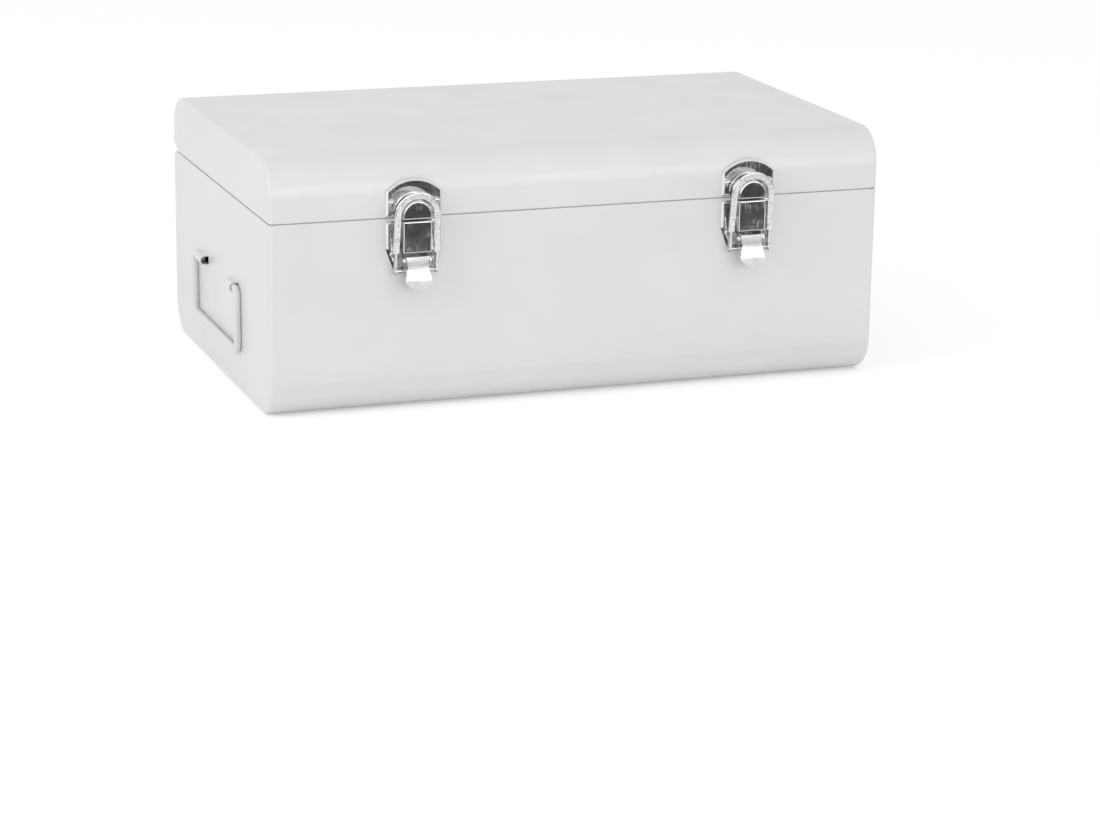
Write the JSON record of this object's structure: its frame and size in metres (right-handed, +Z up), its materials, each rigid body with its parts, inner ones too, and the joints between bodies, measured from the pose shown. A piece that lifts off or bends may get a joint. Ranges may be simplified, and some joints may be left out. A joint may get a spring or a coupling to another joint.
{
  "type": "small tin trunk",
  "caption": "Small white sheet-metal trunk with rounded front and back edges, hinged lid, draw latches and drop handles at its ends, for papers and keepsakes.",
  "frame": {"origin": "centre of the flat bottom", "axes": "+X along the length to the viewer's right when facing the latches, +Y to the back (hinge side), +Z up"},
  "size_m": [0.514, 0.3304, 0.2],
  "materials": {
    "white_powder_coated_sheet": "satin",
    "white_powder_coated_rod": "satin",
    "bright_plated_latch_steel": "polished",
    "bright_plated_pin_steel": "polished",
    "zinc_plated_hinge_steel": "satin"
  },
  "bodies": {
    "trunk": {"body_wrap": "white_powder_coated_sheet", "body_end_left": "white_powder_coated_sheet", "body_end_right": "white_powder_coated_sheet", "body_rim": "white_powder_coated_sheet", "latch_base_left": "bright_plated_latch_steel", "latch_base_right": "bright_plated_latch_steel", "latch_base_rivets_left": "bright_plated_pin_steel", "latch_base_rivets_right": "bright_plated_pin_steel", "lever_pin_left": "bright_plated_pin_steel", "lever_pin_right": "bright_plated_pin_steel", "hinge_body_leaf_left": "zinc_plated_hinge_steel", "hinge_body_leaf_right": "zinc_plated_hinge_steel", "hinge_pin_left": "bright_plated_pin_steel", "hinge_pin_right": "bright_plated_pin_steel", "hinge_body_rivets_left": "zinc_plated_hinge_steel", "hinge_body_rivets_right": "zinc_plated_hinge_steel"},
    "lid": {"lid_wrap": "white_powder_coated_sheet", "lid_end_left": "white_powder_coated_sheet", "lid_end_right": "white_powder_coated_sheet", "keeper_left": "bright_plated_latch_steel", "keeper_right": "bright_plated_latch_steel", "keeper_rivets_left": "bright_plated_pin_steel", "keeper_rivets_right": "bright_plated_pin_steel", "hinge_lid_leaf_left": "zinc_plated_hinge_steel", "hinge_lid_leaf_right": "zinc_plated_hinge_steel", "hinge_lid_rivets_left": "zinc_plated_hinge_steel", "hinge_lid_rivets_right": "zinc_plated_hinge_steel"},
    "left_lever": {"latch_lever_left": "bright_plated_latch_steel"},
    "right_lever": {"latch_lever_right": "bright_plated_latch_steel"},
    "left_bail": {"latch_bail_left": "bright_plated_latch_steel", "bail_pin_left": "bright_plated_pin_steel"},
    "right_bail": {"latch_bail_right": "bright_plated_latch_steel", "bail_pin_right": "bright_plated_pin_steel"},
    "left_handle": {"handle_left": "white_powder_coated_rod"},
    "right_handle": {"handle_right": "white_powder_coated_rod"}
  },
  "joints": [
    {"name": "lid_hinge", "type": "hinge", "parent": "trunk", "child": "lid", "pos_m": [0, 0.1534, 0.1536], "axis": [-1, 0, 0], "range_deg": [0, 112]},
    {"name": "left_lever_pivot", "type": "hinge", "parent": "trunk", "child": "left_lever", "pos_m": [-0.1375, -0.1635, 0.121], "axis": [-1, 0, 0], "range_deg": [0, 100]},
    {"name": "left_bail_pivot", "type": "hinge", "parent": "left_lever", "child": "left_bail", "pos_m": [-0.1375, -0.1605, 0.1125], "axis": [-1, 0, 0], "range_deg": [-136, 0]},
    {"name": "left_handle_swing", "type": "hinge", "parent": "trunk", "child": "left_handle", "pos_m": [-0.2531, 0, 0.083], "axis": [0, 1, 0], "range_deg": [0, 175]},
    {"name": "right_lever_pivot", "type": "hinge", "parent": "trunk", "child": "right_lever", "pos_m": [0.1375, -0.1635, 0.121], "axis": [-1, 0, 0], "range_deg": [0, 100]},
    {"name": "right_bail_pivot", "type": "hinge", "parent": "right_lever", "child": "right_bail", "pos_m": [0.1375, -0.1605, 0.1125], "axis": [-1, 0, 0], "range_deg": [-136, 0]},
    {"name": "right_handle_swing", "type": "hinge", "parent": "trunk", "child": "right_handle", "pos_m": [0.2531, 0, 0.083], "axis": [0, -1, 0], "range_deg": [0, 175]}
  ],
  "couplings": [
    {"joint": "left_bail_pivot", "follows": "left_lever_pivot", "ratio": -1.35},
    {"joint": "right_bail_pivot", "follows": "right_lever_pivot", "ratio": -1.35}
  ]
}
